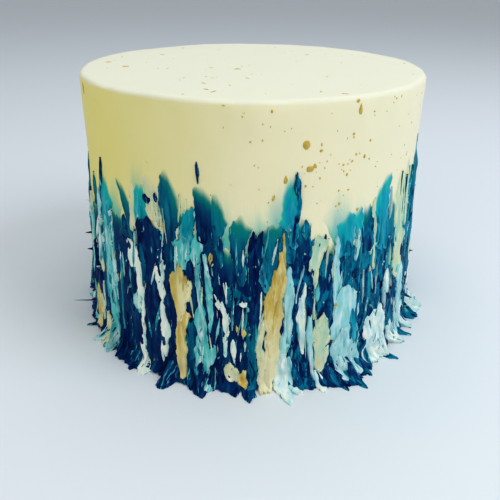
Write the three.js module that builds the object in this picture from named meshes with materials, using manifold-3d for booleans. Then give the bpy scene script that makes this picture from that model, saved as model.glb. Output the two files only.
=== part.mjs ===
// A tall round lemon cake, coated in smooth pale buttercream, with a band of palette-knife strokes round its
// lower half. The strokes are thick dabs of coloured buttercream that are stuck to the coat, so the cake is
// one solid: the coated body with every stroke fused to it. Nothing inside is modelled, as the cake is uncut.
//
// Millimetres, +Z up. The origin is the middle of the flat base, and the side with the strokes that are
// listed below one by one faces -Y. Angles are degrees round the cake from -Y, growing towards +X.

import * as THREE from 'three';
import { ImprovedNoise } from 'three/addons/math/ImprovedNoise.js';
import { mergeVertices } from 'three/addons/utils/BufferGeometryUtils.js';
import Module from 'manifold-3d';

// Driving sizes of the coated cake.
const COAT_RADIUS = 83;
const HEIGHT = 126.5;
const RIM_ROUND = 2.2;
const BASE_ROUND = 1.2;

// The band of strokes gets thicker towards the base, where the knife began each pull.
const BAND_HEIGHT = 84;
const BAND_SWELL = 4.2;
const FLUTE_DEPTH = 0.7;

// At the base a stroke turns outwards on this radius and runs on along the surface that the cake stands on.
const FOOT_BEND = 3.5;

// How deep a stroke is rooted in what lies under it, and how much thinner its edges and ends are.
const ROOT_DEPTH = 2.4;
const EDGE_SHARE = 0.45;
const TIP_SHARE = 0.2;
const FOOT_SHARE = 0.75;
const LEAST_THICKNESS = 0.35;

// Mesh density: steps round the cake, the length of a row of a stroke, and the points across a stroke.
const ROUND_STEPS = 72;
const ROW_LENGTH = 18;
const WIDE = 9;
const ACROSS_WIDE = [-1, -0.5, 0.5, 1];
const ACROSS_NARROW = [-1, 0, 1];

// The share of its length over which each form narrows, at its top and at its foot.
const FORMS = {
  blade: [0.22, 0.06],
  wedge: [0.7, 0.06],
  strip: [0.12, 0.12],
  daub: [0.32, 0.32],
  leaf: [0.46, 0.46],
  drip: [0.08, 0.7],
};
const TIP_POINT = 0.16;
const FOOT_POINT = 0.42;

// The strokes on the front, one knife pull each: form, angle and height of its top, angle and height of its
// foot, width, and how far its face stands out of the band. A height below zero is a foot that runs out over
// the surface by that much.
const FRONT = [
  // Navy
  ['blade', -46, 72, -44.5, 40, 12, 1.4],
  ['blade', -40.5, 63, -39.2, 30, 12.5, 1.8],
  ['blade', -39.5, 33, -39.5, -4, 15, 2.2],
  ['daub', -31.2, 80, -30.6, 55, 14, 2],
  ['strip', -30.2, 64, -29.6, 14, 8.6, 1.9],
  ['daub', -29.2, 27, -28.8, -5, 12, 2.2],
  ['blade', -23.4, 14, -22.6, -7, 8, 1.6],
  ['blade', -13.8, 94, -13.2, 68, 7.6, 1.6],
  ['blade', -10.6, 76, -10.4, 38, 9, 1.4],
  ['blade', -5.8, 68, -6, 44, 6.5, 1.5],
  ['blade', -2, 60, -2, 4, 9, 1.3],
  ['blade', 1.8, 75, 1.4, 26, 6.5, 1.8],
  ['strip', 12.9, 100, 12.9, 76, 2.4, 2.4],
  ['blade', 13.2, 77, 13.7, 45, 10, 1.6],
  ['strip', 12.3, 60, 12.3, 12, 4.6, 1.3],
  ['blade', 14.7, 25, 14.7, -4, 11.5, 2.1],
  ['blade', 21.9, 63, 21.4, 29, 7.6, 1.9],
  ['blade', 35.6, 78.5, 36, 59, 7.4, 2],
  ['blade', 36, 62, 36, 27, 6.4, 1.6],
  ['leaf', 41.6, 64, 41.5, 23, 10, 1.9],
  ['strip', 48, 75, 48.6, 38, 8, 1.7],
  ['leaf', 35.8, 23, 32.8, 9, 4.8, 2.6],
  ['wedge', 23.4, 15, 23.5, -5, 10, 2],
  ['wedge', -15.5, 14, -16.5, -13, 14, 2.4],
  ['wedge', -3.6, 10, -3.2, -13, 13, 2.3],
  ['wedge', 33, 6, 34, -9, 15, 1.8],
  ['leaf', -62.5, 48, -62.5, 22, 6.5, 3.2],
  ['leaf', -52, 24, -51.5, 5, 6, 1.8],
  // Teal and petrol
  ['blade', -24.4, 98, -23.5, 61, 8, 1.6],
  ['strip', -52.4, 85, -50, 12, 9, 1.7],
  ['leaf', -59.5, 84, -58.5, 66, 4.5, 1.6],
  ['strip', -43, 86, -37, 62, 4.2, 1.4],
  ['blade', -34, 89, -34.2, 69, 6, 1.4],
  ['leaf', -19.8, 88, -19.8, 72, 5, 1.2],
  ['blade', -9.9, 91, -9.6, 70, 5.6, 1.3],
  ['blade', -2.4, 80, -2.4, 51, 7, 1.7],
  ['blade', 5.8, 77, 5.9, 51, 6.6, 1.7],
  ['blade', 10.8, 96.5, 10.6, 68, 6.6, 1.8],
  ['blade', 27.6, 77, 28.4, 60, 8.4, 1.3],
  ['blade', 29.3, 66, 29.3, 40, 5.6, 1.7],
  ['blade', 32.4, 79, 33, 65, 5, 1.8],
  ['blade', 43.6, 89, 43, 57, 8.6, 2],
  ['leaf', 61, 82, 61.4, 48, 7, 2.2],
  ['strip', 50, 32, 53.6, 0, 7, 2.2],
  ['strip', 1.1, 32, 0.9, -11, 5, 1.9],
  ['strip', -17.4, 30, -17.8, -2, 5, 1.6],
  // Pale aqua
  ['strip', -48.4, 73, -46.4, 20, 3.2, 2.4],
  ['strip', -49, 46, -47.6, 0, 8, 2.2],
  ['leaf', -17.3, 84, -17.6, 62, 6.4, 2.1],
  ['daub', -19.2, 71, -19.8, 56, 8.6, 2.2],
  ['leaf', -14.9, 74, -15.6, 58, 6, 2],
  ['strip', -14.6, 64, -13.4, 24, 5.2, 2],
  ['leaf', -12.6, 30, -12.8, 5, 8, 2.2],
  ['strip', 10.6, 52, 10.4, 8, 4.4, 1.9],
  ['strip', 25, 76, 25.4, 36, 4.8, 2.1],
  ['blade', 28.6, 45, 29, 12, 14, 2.3],
  ['daub', 30.6, 25, 31.2, -3, 14.5, 2.5],
  ['leaf', 21, 35, 21, 4, 8.4, 2.2],
  ['strip', 56.5, 42, 58.5, 2, 8, 2.6],
  // Ivory
  ['daub', -37.8, 63, -36.8, 49, 6.6, 2.2],
  ['strip', -35, 56, -33.6, -4, 4.4, 2.1],
  ['leaf', -27.6, 63, -26, 37, 5, 2.2],
  ['leaf', -26.4, 38, -26.2, 6, 5.4, 2.2],
  ['leaf', -7, 41.5, -6.6, 21, 3.8, 2.1],
  ['leaf', 14.8, 51, 14.7, 21, 4, 2.2],
  ['strip', 38.9, 79, 39.5, 51, 4.4, 1.9],
  ['strip', 18.9, 66, 18.8, 34, 4, 1.8],
  ['blade', 54, 86, 54.6, 38, 11, 2.3],
  ['blade', 43, 28, 43, -6, 16, 2.4],
  ['wedge', 10.6, 12, 12.4, -15, 10, 1.6],
  ['wedge', -33.4, 6, -32, -11, 9, 1.4],
  ['wedge', 57, 14, 60, -10, 13, 2.2],
  // Gold
  ['leaf', -20.4, 61, -20.4, 33, 10, 2.5],
  ['drip', -20.4, 37, -20, -1, 7.6, 2.9],
  ['leaf', 8.7, 68, 8, 44, 5, 2.6],
  ['strip', 6.8, 54, 5.6, -7, 9, 2.9],
  ['daub', -4.9, 13, -4.6, 1, 7, 3.2],
  ['leaf', -57, 48, -55.6, 36, 7, 2.2],
  ['drip', -57.6, 34, -56.6, -2, 9, 2.4],
];

// Round the back the same kinds of stroke follow each other by rule.
const BACK_FROM = 66;
const BACK_TO = 297;
const BACK_STROKES = 43;
const BACK_FORMS = ['blade', 'strip', 'blade', 'leaf', 'wedge', 'blade', 'drip'];

const noise = new ImprovedNoise();

// An even spread of numbers from 0 to 1: the same stroke always gets the same share.
function share(index, salt) {
  return (index * 0.61803398875 + salt * 0.75487766625) % 1;
}

function backStroke(index) {
  const step = (BACK_TO - BACK_FROM) / BACK_STROKES;
  const angle = BACK_FROM + step * (index + 0.5);
  const high = index % 4 === 0;
  const low = index % 3 === 1;
  let [top, foot] = [60 + 16 * share(index, 3), -5 + 14 * share(index, 6)];
  if (low) [top, foot] = [34 + 22 * share(index, 2), -10 + 8 * share(index, 5)];
  if (high) [top, foot] = [78 + 20 * share(index, 1), 28 + 22 * share(index, 4)];
  const width = 8 + 7 * share(index, 7);
  const lean = 3 * (share(index, 8) - 0.5);
  const form = BACK_FORMS[index % BACK_FORMS.length];
  return [form, angle - lean, top, angle + lean, foot, width, 1.4 + 1.4 * share(index, 9)];
}

// Radius of the band, which the strokes lie on, at a height.
function bandRadius(height) {
  const down = THREE.MathUtils.clamp(1 - height / BAND_HEIGHT, 0, 1);
  return COAT_RADIUS + BAND_SWELL * down;
}

// The surface that the knife works on: up the cake's side, round the bend at its base and out over the
// surface it stands on. Returns the point at that height, and the way out of the surface there.
function canvas(angle, height) {
  const turn = THREE.MathUtils.degToRad(angle);
  const arc = THREE.MathUtils.clamp((FOOT_BEND - height) / FOOT_BEND, 0, Math.PI / 2);
  const run = Math.max(0, FOOT_BEND * (1 - Math.PI / 2) - height);
  const radius = bandRadius(Math.max(height, 0)) + FOOT_BEND * (1 - Math.cos(arc)) + run;
  const z = height >= FOOT_BEND ? height : FOOT_BEND * (1 - Math.sin(arc));
  const point = new THREE.Vector3(radius * Math.sin(turn), -radius * Math.cos(turn), z);
  const level = Math.cos(arc);
  const out = new THREE.Vector3(level * Math.sin(turn), -level * Math.cos(turn), Math.sin(arc));
  return { point, out };
}

// How much of its full width a stroke has, from its top at 0 to its foot at 1.
function widthShare(form, along) {
  const [tip, foot] = FORMS[form];
  const open = Math.min(1, TIP_POINT + (1 - TIP_POINT) * Math.sqrt(along / tip));
  const close = Math.min(1, FOOT_POINT + (1 - FOOT_POINT) * Math.sqrt((1 - along) / foot));
  return open * close;
}

// The heights of a stroke's rows: closer where it narrows, and at the bend if it runs out at the base.
function rowHeights(form, top, foot) {
  const [tipShare, footShare] = FORMS[form];
  const high = THREE.MathUtils.lerp(top, foot, tipShare);
  const low = THREE.MathUtils.lerp(foot, top, footShare);
  const steps = Math.max(1, Math.round((high - low) / ROW_LENGTH));
  const heights = [top];
  for (let step = 0; step <= steps; step++) {
    heights.push(THREE.MathUtils.lerp(high, low, step / steps));
  }
  heights.push(foot);
  if (foot >= 0) return heights;
  const bend = [FOOT_BEND, FOOT_BEND * (1 - Math.PI / 2)];
  return [
    ...heights.filter((height) => height > FOOT_BEND + 2),
    ...bend.filter((height) => height > foot + 1),
    foot,
  ];
}

// One stroke as a closed slab, rooted in what lies under it.
function strokeGeometry([form, topAngle, top, footAngle, foot, width, lift], index) {
  const heights = rowHeights(form, top, foot);
  const columns = width < WIDE ? ACROSS_NARROW : ACROSS_WIDE;
  const face = [];
  const root = [];
  for (const height of heights) {
    const along = THREE.MathUtils.clamp((top - height) / (top - foot), 0, 1);
    const ragged = 1 + 0.3 * noise.noise(index * 3.7, height / 9, 0.5);
    const half = 0.5 * width * widthShare(form, along) * ragged;
    const sway = 1.1 * noise.noise(index * 5.3, height / 14, 8.5);
    const ends = Math.min(1, TIP_SHARE + along * 5, FOOT_SHARE + (1 - along) * 2);
    for (const across of columns) {
      const angle = THREE.MathUtils.lerp(topAngle, footAngle, along)
        + THREE.MathUtils.radToDeg((across * half + sway) / COAT_RADIUS);
      const { point, out } = canvas(angle, height);
      const edge = Math.abs(across) === 1 ? EDGE_SHARE : 1;
      const uneven = 1 + 0.35 * noise.noise(angle / 2.5, height / 7, index * 1.9);
      const thickness = Math.max(LEAST_THICKNESS, lift * edge * ends * uneven);
      face.push(point.clone().addScaledVector(out, thickness));
      const rooted = point.addScaledVector(out, -ROOT_DEPTH);
      if (height <= FOOT_BEND) rooted.z = 0;
      root.push(rooted);
    }
  }
  return closedSlab(face, root, heights.length - 1, columns.length - 1);
}

// Joins a grid of face points and the matching grid of root points into one closed surface.
function closedSlab(face, root, rows, columns) {
  const perRow = columns + 1;
  const behind = face.length;
  const triangles = [];
  const quad = (a, b, c, d) => triangles.push(a, b, c, a, c, d);
  for (let r = 0; r < rows; r++) {
    for (let c = 0; c < columns; c++) {
      const a = r * perRow + c;
      quad(a, a + perRow, a + perRow + 1, a + 1);
      quad(behind + a, behind + a + 1, behind + a + perRow + 1, behind + a + perRow);
    }
    const left = r * perRow;
    const right = left + columns;
    quad(left, behind + left, behind + left + perRow, left + perRow);
    quad(right, right + perRow, behind + right + perRow, behind + right);
  }
  for (let c = 0; c < columns; c++) {
    const low = rows * perRow + c;
    quad(c, c + 1, behind + c + 1, behind + c);
    quad(low, behind + low, behind + low + 1, low + 1);
  }
  const geometry = new THREE.BufferGeometry();
  const corners = [...face, ...root].flatMap((point) => point.toArray());
  geometry.setAttribute('position', new THREE.Float32BufferAttribute(corners, 3));
  geometry.setIndex(triangles);
  return geometry;
}

// The coated body: a turned profile with a crisp rounded rim, swelling into the band, whose face is lightly
// fluted where pulls of buttercream lie side by side under the listed strokes.
function bodyGeometry() {
  const profile = [new THREE.Vector2(0, 0)];
  const base = bandRadius(0);
  profile.push(new THREE.Vector2(base - BASE_ROUND, 0));
  profile.push(new THREE.Vector2(base, BASE_ROUND));
  const bandRows = 3;
  for (let row = 1; row <= bandRows; row++) {
    const height = BAND_HEIGHT * row / bandRows;
    profile.push(new THREE.Vector2(bandRadius(height), height));
  }
  const rimSteps = 3;
  for (let step = 0; step <= rimSteps; step++) {
    const turn = Math.PI / 2 * step / rimSteps;
    profile.push(new THREE.Vector2(
      COAT_RADIUS - RIM_ROUND + RIM_ROUND * Math.cos(turn),
      HEIGHT - RIM_ROUND + RIM_ROUND * Math.sin(turn),
    ));
  }
  profile.push(new THREE.Vector2(0, HEIGHT));
  const geometry = new THREE.LatheGeometry(profile, ROUND_STEPS);
  geometry.rotateX(Math.PI / 2);
  const position = geometry.getAttribute('position');
  for (let i = 0; i < position.count; i++) {
    const [x, y, z] = [position.getX(i), position.getY(i), position.getZ(i)];
    const radius = Math.hypot(x, y);
    if (z < BASE_ROUND || z > BAND_HEIGHT - 10 || radius < COAT_RADIUS - 1) continue;
    const flute = 1 + FLUTE_DEPTH * noise.noise(x / 4, y / 4, z / 30) / radius;
    position.setX(i, x * flute);
    position.setY(i, y * flute);
  }
  return geometry;
}

const wasm = await Module();
wasm.setup();

function solidOf(geometry) {
  const bare = geometry.clone();
  for (const name of ['normal', 'uv']) bare.deleteAttribute(name);
  const merged = mergeVertices(bare, 1e-4);
  return new wasm.Manifold(new wasm.Mesh({
    numProp: 3,
    vertProperties: new Float32Array(merged.getAttribute('position').array),
    triVerts: new Uint32Array(merged.getIndex().array),
  }));
}

function geometryOf(solid) {
  const { vertProperties, triVerts } = solid.getMesh();
  const geometry = new THREE.BufferGeometry();
  geometry.setAttribute('position', new THREE.BufferAttribute(vertProperties, 3));
  geometry.setIndex(new THREE.BufferAttribute(triVerts, 1));
  geometry.computeVertexNormals();
  return geometry;
}

function lemonCake() {
  const back = Array.from({ length: BACK_STROKES }, (_, index) => backStroke(index));
  let cake = solidOf(bodyGeometry());
  [...FRONT, ...back].forEach((stroke, index) => {
    cake = cake.add(solidOf(strokeGeometry(stroke, index)));
  });
  const buttercream = new THREE.MeshStandardMaterial({ color: 0xe6deb4, roughness: 0.5, metalness: 0 });
  const mesh = new THREE.Mesh(geometryOf(cake), buttercream);
  mesh.name = 'lemon_cake';
  return mesh;
}

const cake = new THREE.Group();
cake.name = 'cake';
cake.add(lemonCake());

export default cake;
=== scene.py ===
"""A tall round lemon cake in smooth pale buttercream, with palette-knife strokes round its lower half."""
import math

import bpy
import numpy as np
from mathutils import Matrix, Vector


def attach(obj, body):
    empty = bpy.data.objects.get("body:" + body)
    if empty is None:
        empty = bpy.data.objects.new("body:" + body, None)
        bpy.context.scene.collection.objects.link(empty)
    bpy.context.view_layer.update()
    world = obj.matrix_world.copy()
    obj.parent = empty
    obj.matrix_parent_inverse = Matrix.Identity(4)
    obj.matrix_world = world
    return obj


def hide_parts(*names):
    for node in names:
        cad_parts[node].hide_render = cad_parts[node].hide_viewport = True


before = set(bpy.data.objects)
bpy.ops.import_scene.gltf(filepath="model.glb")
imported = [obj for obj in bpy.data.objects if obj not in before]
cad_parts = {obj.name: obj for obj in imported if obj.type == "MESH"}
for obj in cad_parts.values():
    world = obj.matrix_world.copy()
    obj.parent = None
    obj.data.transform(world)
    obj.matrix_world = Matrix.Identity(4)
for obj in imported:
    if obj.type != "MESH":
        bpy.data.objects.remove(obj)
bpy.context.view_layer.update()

MM = 0.001

# Sizes of the coated cake in millimetres, as in the part's source.
COAT_RADIUS = 83.0
HEIGHT = 126.5
RIM_ROUND = 2.2
BAND_HEIGHT = 84.0
BAND_SWELL = 4.2

# The radius on which the foot of a stroke bends out over what the cake stands on, and how deep a stroke is
# rooted in the coat.
FOOT_BEND = 6.0
ROOT_DEPTH = 2.0

# How a stroke that ends on the bare coat thins out to it. It starts ABOVE its top as a mere film and takes
# its full colour over FADE. Its edge nearer FRONT_ANGLE is soft and its other edge is crisp: SOFT_SIDE is the
# width of the soft edge, SPREAD how far it runs beyond the stroke and LEAN how much lower down it takes its
# full colour. Below COVERED the dark strokes laid first hide the coat, so no edge is soft there. WASH_FILM is
# how thick a film a wash gets to.
ABOVE = 4.0
FADE = 22.0
FRONT_ANGLE = -2.2
SOFT_SIDE = 6.0
SPREAD = 3.4
LEAN = 1.0
COVERED = 72.0
WASH_FILM = 0.22

# How each form of stroke ends: the share of its length over which its top opens out, the share of its width
# that it starts with there, and the same two shares for its foot.
FORMS = {
    "blade": (0.16, 0.5, 0.06, 0.5),
    "wedge": (0.7, 0.25, 0.06, 0.5),
    "strip": (0.08, 0.6, 0.12, 0.55),
    "daub": (0.3, 0.35, 0.3, 0.4),
    "leaf": (0.44, 0.15, 0.46, 0.15),
    "drip": (0.08, 0.5, 0.7, 0.4),
    "tongue": (0.3, 0.35, 0.5, 0.1),
    "flap": (0.3, 0.5, 0.08, 0.85),
    "wash": (0.5, 0.4, 0.5, 0.4),
}

# The strokes on the front: form, angle and height of the top, angle and height of the foot, width, and how
# far the face stands out. A height below zero is a foot that runs out over what the cake stands on.
NAVY = [
    ("blade", -46, 72, -44.5, 40, 12, 1.4),
    ("blade", -40.5, 63, -39.2, 30, 12.5, 1.8),
    ("blade", -39.5, 33, -39.5, -4, 15, 2.2),
    ("daub", -31.6, 76, -30.8, 53, 14, 2.0),
    ("strip", -30.2, 64, -29.6, 14, 8.6, 1.9),
    ("daub", -29.2, 27, -28.8, -1.6, 12, 2.2),
    ("blade", -13, 91, -12.7, 68, 7.6, 1.6),
    ("blade", -10.6, 76, -10.4, 38, 9, 1.4),
    ("blade", -6.4, 66.2, -6, 44, 6.5, 1.5),
    ("blade", -2, 60, -2, 4, 9, 1.3),
    ("flap", 1.8, 75, 1.4, 26, 6.5, 1.8),
    ("leaf", 12.7, 101, 12.4, 66, 3, 2.2),
    ("blade", 13.2, 77, 13.7, 45, 10, 1.6),
    ("strip", 12.3, 60, 12.3, 12, 4.6, 1.3),
    ("blade", 14.7, 25, 14.7, -2.4, 11.5, 2.1),
    ("blade", 21.9, 63, 21.4, 29, 7.6, 1.9),
    ("blade", 35.6, 78.5, 36, 59, 7.4, 2.0),
    ("leaf", 35.8, 23, 32.8, 9, 4.8, 2.6),
    ("leaf", -62.5, 48, -62.5, 22, 6.5, 3.2),
    ("leaf", -52, 24, -51.5, 5, 6, 1.8),
    ("daub", -41.3, 72, -40.5, 66, 3.2, 1.7),
    ("daub", -31, 85.4, -30.2, 82, 5.4, 1.6),
    ("daub", -27.8, 86.8, -27.4, 83.2, 2.8, 1.6),
    ("leaf", -23.5, 47, -23, 28, 4, 2.1),
    ("leaf", -14.2, 102, -14.1, 94, 1.7, 1.5),
    ("daub", -17.2, 60, -17, 52, 3.8, 2.4),
    ("blade", -10, 42, -10, 8, 7, 1.8),
    ("leaf", 16.8, 56, 17, 32, 4, 2.2),
    ("daub", 31.6, 54, 31.6, 46.5, 4, 2.8),
    ("leaf", 48, 33, 49, 16, 7, 2.4),
    ("leaf", -59, 36, -59, 18, 5, 3.2),
    ("tongue", -22.8, 14, -23.8, -9.6, 9, 1.8),
    ("flap", -17.6, 10, -17.8, -3, 9, 1.7),
    ("tongue", -14.8, 15, -13.2, -7.6, 10, 2.1),
    ("flap", -8.8, 10, -8.8, -1, 10, 1.6),
    ("flap", -4.8, 9, -4.6, -3.4, 7, 1.6),
    ("tongue", -2, 14, -0.4, -6.6, 9, 1.9),
    ("flap", 16.6, 10, 16.6, -2.2, 9, 1.9),
    ("flap", 24.2, 17, 25.2, -5.6, 13, 2.0),
    ("tongue", 24.6, 8, 25.6, -8.4, 6, 1.8),
    ("flap", 29.4, 9, 30, -7.6, 11, 1.7),
    ("tongue", 29.4, 6, 31, -11, 5, 1.7),
    ("flap", 34, 9, 34.6, -4.4, 10, 1.8),
    ("tongue", 34, 5, 35.8, -6.6, 4, 1.9),
    ("tongue", 40.8, 6, 41.6, -2.6, 5, 1.7),
    ("tongue", 44.6, 5, 46, -8, 4.4, 1.6),
    ("tongue", -60.5, 8, -62.6, -4.8, 4, 1.7),
    ("tongue", -43.4, 10, -43, -3.4, 8, 1.9),
    ("tongue", -36, 10, -35, -5.6, 7, 2.0),
    ("leaf", -71, 42, -70.6, 22, 4, 2.8),
    ("leaf", 68, 34, 68.4, 10, 5, 2.6),
    ("leaf", 8, 73, 8.2, 61, 3.4, 2.0),
    ("leaf", 0.9, 74.5, 1, 58, 3.6, 1.9),
    ("tongue", 63.5, 12, 65, -1.6, 3, 2.6),
]
PETROL = [
    ("blade", -24.3, 95, -23.2, 58, 6.6, 1.9),
    ("leaf", -62, 84, -60.5, 68, 3.2, 1.8),
    ("strip", -43, 86, -37, 62, 4.2, 1.4),
    ("blade", 11, 84, 10.6, 60, 6, 2.0),
    ("blade", -10.4, 88, -10, 66, 4.6, 1.3),
    ("blade", -3, 79.5, -2.6, 51, 5.4, 1.7),
    ("blade", 5.8, 77, 5.9, 51, 6.6, 1.7),
    ("blade", 29.3, 66, 29.3, 40, 5.6, 1.7),
    ("strip", 50, 32, 53.6, 0, 7, 2.2),
    ("strip", 1.1, 32, 0.9, -5.6, 5, 1.9),
    ("strip", -17.4, 30, -17.8, -2, 5, 1.6),
    ("leaf", -53.4, 93, -54, 72, 1.3, 2.0),
    ("leaf", -33.4, 63, -33.6, 42, 3.2, 2.3),
    ("leaf", -8, 73, -7.4, 58, 4, 1.5),
    ("leaf", 15.2, 79.5, 15.2, 70, 4, 1.7),
    ("daub", -5, 52, -5, 40, 8, 1.9),
    ("daub", -1.5, 48, -1, 42, 4, 2.1),
    ("strip", 33.3, 42, 33.5, 22, 2.8, 2.7),
    ("strip", 36.5, 12, 36.5, -3, 6, 2.4),
    ("blade", 36, 62, 36, 27, 6.4, 1.6),
    ("leaf", 41.6, 64, 41.5, 23, 10, 1.9),
    ("strip", 48, 75, 48.6, 38, 8, 1.7),
    ("daub", 31, 62, 31.4, 40, 8, 1.6),
    ("leaf", 53.6, 88, 52.6, 76, 0.7, 2.2),
    ("leaf", 55.6, 81, 55.4, 66, 1.2, 2.6),
    ("leaf", 17.4, 70, 17.8, 66, 1.0, 2.2),
    ("leaf", 19.6, 68.5, 19.4, 66, 1.2, 2.4),
    ("leaf", 20.8, 71, 21, 68.4, 1.0, 2.2),
    ("leaf", 21.6, 66, 21.4, 61, 1.1, 2.4),
    ("leaf", 60, 87, 62, 67, 0.8, 2.5),
    ("leaf", 68, 99, 67, 80, 0.9, 1.8),
    ("leaf", 31, 25, 31.2, 17, 3.2, 3.4),
    ("leaf", 33.4, 20, 33.4, 13, 1.8, 3.3),
    ("leaf", 63.6, 86, 63.4, 62, 0.9, 2.7),
    ("leaf", 57.4, 84, 57.2, 58, 0.8, 2.9),
    ("tongue", 66.5, 14, 68.4, -3.2, 2.6, 2.5),
    ("tongue", 57, 9, 59.5, -4.6, 3, 2.4),
]
SEA = [
    ("strip", -52.4, 85, -50, 8, 10, 1.9),
    ("blade", -34, 89, -34.2, 67, 6.4, 1.5),
    ("leaf", -17.3, 85, -17.6, 61, 6.6, 2.1),
    ("blade", 11.2, 96.5, 10.9, 66, 5, 1.9),
    ("blade", 27.6, 78, 28.4, 58, 8.6, 1.5),
    ("blade", 32.4, 79, 33, 64, 5.2, 1.8),
    ("blade", 43.6, 89, 43, 55, 8.8, 2.0),
    ("leaf", 61, 83, 61.4, 48, 7, 2.2),
    ("strip", 47.5, 62, 47.5, 30, 3, 2.3),
    ("leaf", 39, 60, 38.6, 30, 3.2, 2.2),
    ("strip", -43, 50, -42.4, 8, 2.6, 2.3),
    ("daub", 4.2, 62, 4.2, 49, 5.6, 2.0),
    ("wash", -19.4, 88, -19.4, 66, 5.6, 1.2),
    ("wash", 26, 88, 27, 62, 15, 1.2),
    ("wash", 33, 84, 33, 68, 10, 1.2),
    ("wash", 8.4, 94, 7.6, 66, 9, 1.2),
    ("wash", -9.4, 92, -8.4, 66, 12, 1.2),
    ("wash", -1, 84, -1, 66, 20, 1.2),
    ("wash", -34.6, 98, -35.2, 74, 9, 1.2),
    ("wash", -45.6, 88, -45.6, 64, 9, 1.2),
    ("leaf", 32.2, 35, 32.8, 13, 4.2, 2.9),
]
AQUA = [
    ("strip", -48.4, 73, -46.4, 20, 3.2, 2.4),
    ("strip", -49, 46, -47.8, -5, 8, 2.2),
    ("daub", -19.2, 71, -19.8, 56, 8.6, 2.2),
    ("leaf", -14.9, 74, -15.6, 58, 6, 2.0),
    ("strip", -15.2, 64, -13.6, 28, 2.4, 2.0),
    ("leaf", -12.6, 30, -12.8, 5, 8, 2.2),
    ("leaf", -13.5, 40, -13, 20, 6, 2.2),
    ("leaf", -14.5, 24, -15.5, 6, 5, 2.4),
    ("strip", -13, 8, -12.5, -3, 5, 2.3),
    ("daub", -36.5, 38, -36.3, 28, 6, 2.7),
    ("leaf", -42.5, 54, -42.5, 48, 1.9, 2.8),
    ("leaf", -39.6, 22, -41, 16, 1.8, 3.1),
    ("leaf", -8, 70, -8.2, 51, 0.7, 2.6),
    ("leaf", -4, 70, -4.2, 50, 0.7, 2.6),
    ("leaf", -0.2, 64, -0.8, 52, 0.8, 2.6),
    ("leaf", 4, 75, 4.1, 63, 0.9, 2.4),
    ("strip", -13, 12, -11.8, -3, 2.2, 2.6),
    ("leaf", -10.5, 9, -9.6, -2, 1.2, 2.6),
    ("leaf", -15, 11, -13.8, 0, 1.2, 2.7),
    ("strip", -12.7, 65, -11.2, 26, 2.8, 2.1),
    ("leaf", 19.8, 50, 19.4, 40, 2.8, 2.3),
    ("leaf", 13.7, 34, 14.3, 22, 1.4, 2.7),
    ("strip", -50.4, 74, -49.8, 20, 7.5, 2.1),
]
FOAM = [
    ("strip", 10.8, 59, 10, 9, 4.8, 2.0),
    ("leaf", 25, 70, 25.4, 30, 6, 2.1),
    ("blade", 28.2, 46, 28.8, 12, 15, 2.3),
    ("blade", 29.6, 25, 29.8, -4.4, 15, 2.6),
    ("strip", 56.5, 42, 58.5, 2, 8, 2.6),
    ("strip", 11.3, 48, 11.6, -2, 2.8, 2.3),
    ("leaf", 32.2, 69, 31.6, 57, 4, 2.4),
    ("leaf", -56.6, 60, -57.6, 42, 5, 2.9),
    ("strip", 17.3, 35, 18.8, 2, 2.8, 2.6),
    ("leaf", -56.6, 78, -56, 60, 4.6, 2.4),
    ("leaf", -54, 13, -53.6, -5, 7, 2.9),
]
IVORY = [
    ("daub", -37.8, 63, -36.8, 49, 6.6, 2.2),
    ("strip", -35, 56, -33.6, -4, 4.4, 2.1),
    ("leaf", -27.6, 63, -26, 37, 5, 2.2),
    ("leaf", -26.4, 38, -26.2, 6, 5.4, 2.2),
    ("leaf", -7.2, 43, -5.9, 25.5, 4.4, 2.3),
    ("leaf", 14.8, 52, 15, 14, 4.4, 2.2),
    ("blade", 43, 28, 43, -3, 16, 2.4),
    ("tongue", 9, 18, 9.8, -11, 8, 1.7),
    ("daub", 12.6, 8, 12.8, -5.4, 7, 1.4),
    ("tongue", -33.2, 5, -32.2, -6, 7, 1.2),
    ("tongue", 52.6, 16, 53.8, -5.4, 9, 2.3),
    ("tongue", 60, 18, 63.6, -5.4, 9, 2.5),
    ("tongue", 70, 18, 75, -7.6, 6, 2.3),
    ("leaf", -10.1, 47, -9.2, 42, 1.2, 2.6),
    ("leaf", -7, 28.5, -7, 14.5, 2.6, 2.7),
    ("leaf", -4.4, 26, -4.1, 12, 2.4, 2.7),
    ("leaf", -1, 24, -1, 18.5, 1.2, 2.6),
    ("daub", -2.2, 43, -2, 41, 5.2, 2.8),
    ("strip", 46.6, 43, 48, 32, 3.8, 2.8),
    ("strip", 46.5, 22, 46, -3, 6, 2.9),
    ("daub", 20, 5, 20.4, -6.5, 4.6, 1.9),
    ("strip", -21, 75, -21, 58, 1.1, 2.0),
    ("strip", 3.2, 49, 2.8, 34, 1.2, 2.9),
    ("daub", -9.4, 42.8, -9.2, 39.6, 3.0, 2.6),
    ("strip", -7.6, 50.5, -6.2, 42, 0.9, 2.6),
    ("strip", -1.8, 38.6, -1.7, 29, 0.9, 2.6),
    ("leaf", 47.2, 84, 46.8, 68, 1.0, 2.8),
]
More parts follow.
